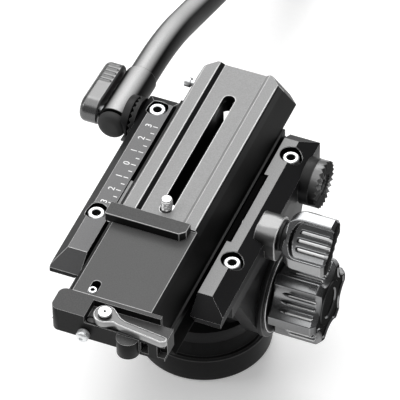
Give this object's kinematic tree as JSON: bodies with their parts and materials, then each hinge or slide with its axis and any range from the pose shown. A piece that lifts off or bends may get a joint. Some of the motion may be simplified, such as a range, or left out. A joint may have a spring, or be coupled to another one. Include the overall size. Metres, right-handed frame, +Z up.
{
  "type": "fluid video head",
  "caption": "Fluid pan and tilt head with a long sliding quick plate, cam lever block, winged lock knobs, rosettes and a bent pan handle.",
  "frame": {"origin": "mouth of the tripod thread, in the middle of the base's underside", "axes": "+Z up the pan axis, +X along the tilt axis towards the tilt knob, +Y back towards the operator's handle"},
  "size_m": [0.1665, 0.4532, 0.1482],
  "materials": {
    "black_anodised": "fine satin anodised",
    "grey_anodised": "fine satin anodised",
    "titanium_grey": "satin anodised",
    "bright_steel": "plated",
    "bronze": "turned",
    "black_rubber": "matte"
  },
  "bodies": {
    "base": {"base_disc": "black_anodised", "thread_insert": "bright_steel", "base_screws": "bright_steel", "pan_post": "bright_steel", "thrust_ring": "bronze", "post_nut": "bright_steel"},
    "pan": {"pan_housing": "black_anodised", "tilt_shaft": "bright_steel", "drag_left": "grey_anodised", "drag_right": "grey_anodised", "spring_sleeve": "bright_steel"},
    "pan_lock": {"pan_knob": "titanium_grey", "brake_screw": "bright_steel"},
    "tilt": {"left_cheek": "black_anodised", "right_cheek": "black_anodised", "left_bush": "bronze", "right_bush": "bronze", "left_hub_cap": "black_anodised", "right_hub_ring": "black_anodised", "clamp_bed": "black_anodised", "left_rail": "grey_anodised", "right_rail": "grey_anodised", "rail_screws": "bright_steel", "guide_pad": "grey_anodised", "left_rosette": "black_anodised", "right_rosette": "black_anodised", "lock_housing": "titanium_grey"},
    "jaw": {"clamp_jaw": "bronze"},
    "plate_lock": {"lock_knob": "titanium_grey", "lock_screw": "bright_steel"},
    "tilt_lock": {"tilt_knob": "titanium_grey", "tilt_knob_insert": "bright_steel"},
    "plate": {"quick_plate": "grey_anodised", "stop_bar": "grey_anodised", "front_block": "grey_anodised", "stop_screw": "bright_steel", "thumb_screw": "bright_steel", "lever_screw": "bright_steel"},
    "pin": {"index_pin": "bright_steel"},
    "lever": {"cam_lever": "titanium_grey"},
    "carriage": {"screw_washer": "bright_steel"},
    "screw": {"camera_screw": "bright_steel"},
    "handle": {"handle_hub": "black_anodised", "handle_collar": "grey_anodised", "collar_plug": "black_rubber", "handle_tube": "grey_anodised", "grip": "black_rubber", "grip_cap": "black_anodised"},
    "handle_lock": {"handle_knob": "titanium_grey", "handle_bolt": "bright_steel"}
  },
  "joints": [
    {"name": "pan", "type": "hinge", "parent": "base", "child": "pan", "pos_m": [0, 0, 0.03], "axis": [0, 0, 1], "continuous": true},
    {"name": "pan_knob_turn", "type": "hinge", "parent": "pan", "child": "pan_lock", "pos_m": [0, 0.04, 0.0384], "axis": [0, 1, 0], "continuous": true},
    {"name": "tilt", "type": "hinge", "parent": "pan", "child": "tilt", "pos_m": [0, -0.008, 0.061], "axis": [1, 0, 0], "range_deg": [-50, 85]},
    {"name": "tilt_knob_turn", "type": "hinge", "parent": "pan", "child": "tilt_lock", "pos_m": [0, -0.008, 0.061], "axis": [1, 0, 0], "continuous": true},
    {"name": "plate_lock_turn", "type": "hinge", "parent": "tilt", "child": "plate_lock", "pos_m": [0.07, -0.024, 0.121], "axis": [1, 0, 0], "range_deg": [0, 300]},
    {"name": "jaw_slide", "type": "slide", "parent": "tilt", "child": "jaw", "axis": [1, 0, 0], "range_m": [0, 0.000836]},
    {"name": "plate_slide", "type": "slide", "parent": "tilt", "child": "plate", "axis": [0, 1, 0], "range_m": [-0.03, 0.03]},
    {"name": "lever_turn", "type": "hinge", "parent": "plate", "child": "lever", "pos_m": [0, -0.1269, 0.138], "axis": [0, 0, 1], "range_deg": [-75, 0]},
    {"name": "pin_slide", "type": "slide", "parent": "plate", "child": "pin", "axis": [0, 1, 0], "range_m": [0, 0.005]},
    {"name": "camera_screw_slide", "type": "slide", "parent": "plate", "child": "carriage", "axis": [0, 1, 0], "range_m": [0, 0.084]},
    {"name": "camera_screw_turn", "type": "hinge", "parent": "carriage", "child": "screw", "pos_m": [0, -0.046, 0.14], "axis": [0, 0, 1], "continuous": true},
    {"name": "handle_swing", "type": "hinge", "parent": "tilt", "child": "handle", "pos_m": [-0.0627, 0.034, 0.112], "axis": [1, 0, 0], "range_deg": [-40, 60]},
    {"name": "handle_knob_turn", "type": "hinge", "parent": "handle", "child": "handle_lock", "pos_m": [-0.0627, 0.034, 0.112], "axis": [1, 0, 0], "continuous": true}
  ],
  "couplings": [
    {"joint": "jaw_slide", "follows": "plate_lock_turn", "m_per_rad": 0.000159},
    {"joint": "pin_slide", "follows": "lever_turn", "m_per_rad": -0.0038}
  ]
}
